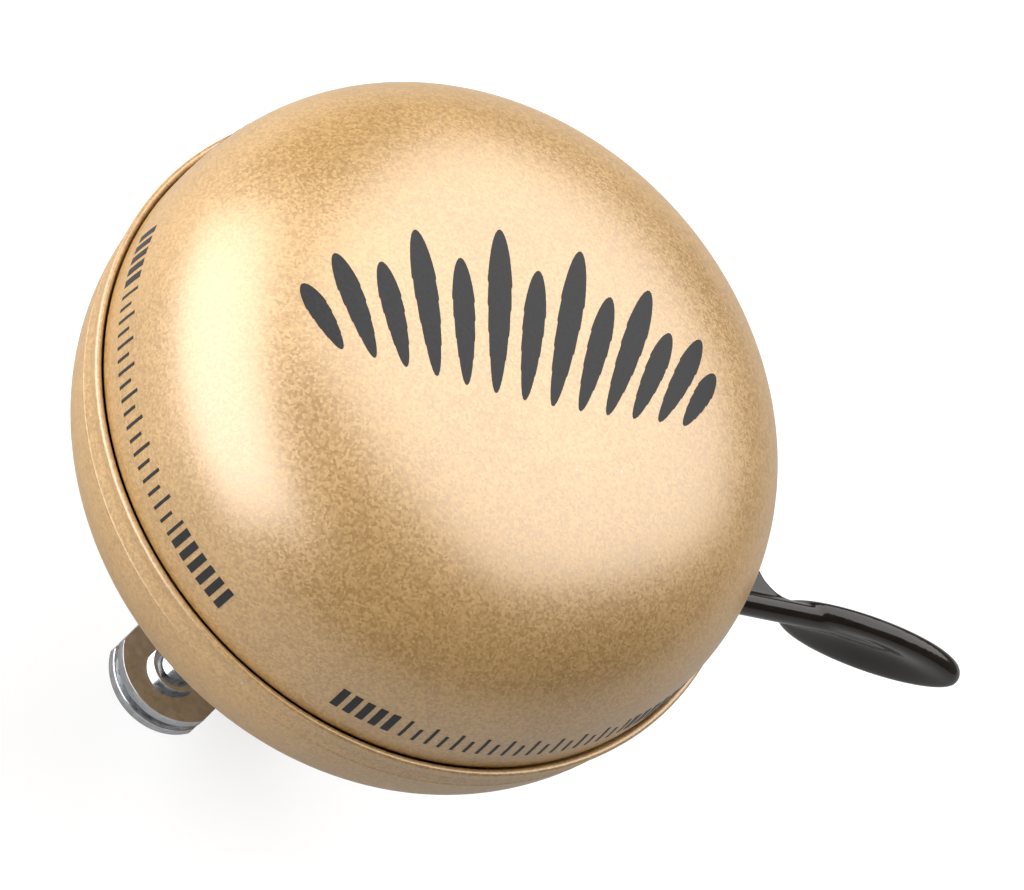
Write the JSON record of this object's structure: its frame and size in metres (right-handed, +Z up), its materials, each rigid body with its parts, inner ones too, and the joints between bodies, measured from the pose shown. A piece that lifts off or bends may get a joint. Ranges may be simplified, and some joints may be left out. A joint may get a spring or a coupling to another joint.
{
  "type": "bicycle bell",
  "caption": "Large round bicycle bell in gold paint with a black thumb lever, a geared rotor with loose strikers and a screwed handlebar clamp.",
  "frame": {"origin": "centre of the handlebar bore, on the bell's own axis", "axes": "+X along the handlebar towards the thumb lever, +Y across it, +Z up through the middle of the dome"},
  "size_m": [0.1037, 0.08, 0.0797],
  "materials": {
    "gold_paint": "satin metallic gold paint with a fine flake",
    "black_plastic": "glossy moulded plastic",
    "zinc_plate": "bright zinc plate",
    "bare_steel": "plain turned or pressed steel",
    "spring_steel": "oiled spring steel",
    "brass": "machined brass",
    "nylon": "natural moulded nylon",
    "rubber": "matt black rubber"
  },
  "bodies": {
    "root": {"dome": "gold_paint", "pan": "gold_paint", "dome_boss": "brass", "strike_lugs": "bare_steel", "centre_post": "bare_steel", "pan_spacer": "bare_steel", "post_sleeve": "bare_steel", "mechanism_plate": "bare_steel", "plate_standoffs": "bare_steel", "plate_nut": "zinc_plate", "lock_nut": "zinc_plate", "rotor_washer": "bare_steel", "rotor_clip": "spring_steel", "idler_pin": "bare_steel", "idler_clip": "spring_steel", "lever_pin": "bare_steel", "lever_washer": "bare_steel", "lever_clip": "spring_steel", "lever_spring": "spring_steel", "upper_clamp": "zinc_plate", "lower_clamp": "zinc_plate", "clamp_screws": "zinc_plate", "clamp_washers": "zinc_plate", "bar_liner": "rubber"},
    "lever": {"thumb_lever": "black_plastic"},
    "idler": {"idler_gear": "nylon", "idler_pinion": "nylon"},
    "rotor": {"rotor_bar": "bare_steel", "rotor_pinion": "nylon", "striker_pins": "bare_steel"},
    "striker_a": {"striker_a": "zinc_plate"},
    "striker_b": {"striker_b": "zinc_plate"}
  },
  "joints": [
    {"name": "rotor_spin", "type": "hinge", "parent": "root", "child": "rotor", "pos_m": [0, 0, 0.037], "axis": [0, 0, 1], "range_deg": [0, 360]},
    {"name": "lever_press", "type": "hinge", "parent": "root", "child": "lever", "pos_m": [0.02502, 0.0096, 0.0328], "axis": [0, 0, 1], "range_deg": [0, 30], "stiffness_Nm_per_rad": 0.02, "springref_deg": -11.46, "deforming": ["lever_spring"]},
    {"name": "idler_spin", "type": "hinge", "parent": "root", "child": "idler", "pos_m": [0.01491, -0.01233, 0.034], "axis": [0, 0, 1], "range_deg": [-120, 0]},
    {"name": "striker_a_fling", "type": "slide", "parent": "rotor", "child": "striker_a", "axis": [0.2588, 0.9659, 0], "range_m": [-0.00125, 0.00125]},
    {"name": "striker_b_fling", "type": "slide", "parent": "rotor", "child": "striker_b", "axis": [-0.2588, -0.9659, 0], "range_m": [-0.00125, 0.00125]}
  ],
  "couplings": [
    {"joint": "lever_press", "follows": "rotor_spin", "ratio": 0.083333},
    {"joint": "idler_spin", "follows": "rotor_spin", "ratio": -0.33333}
  ]
}
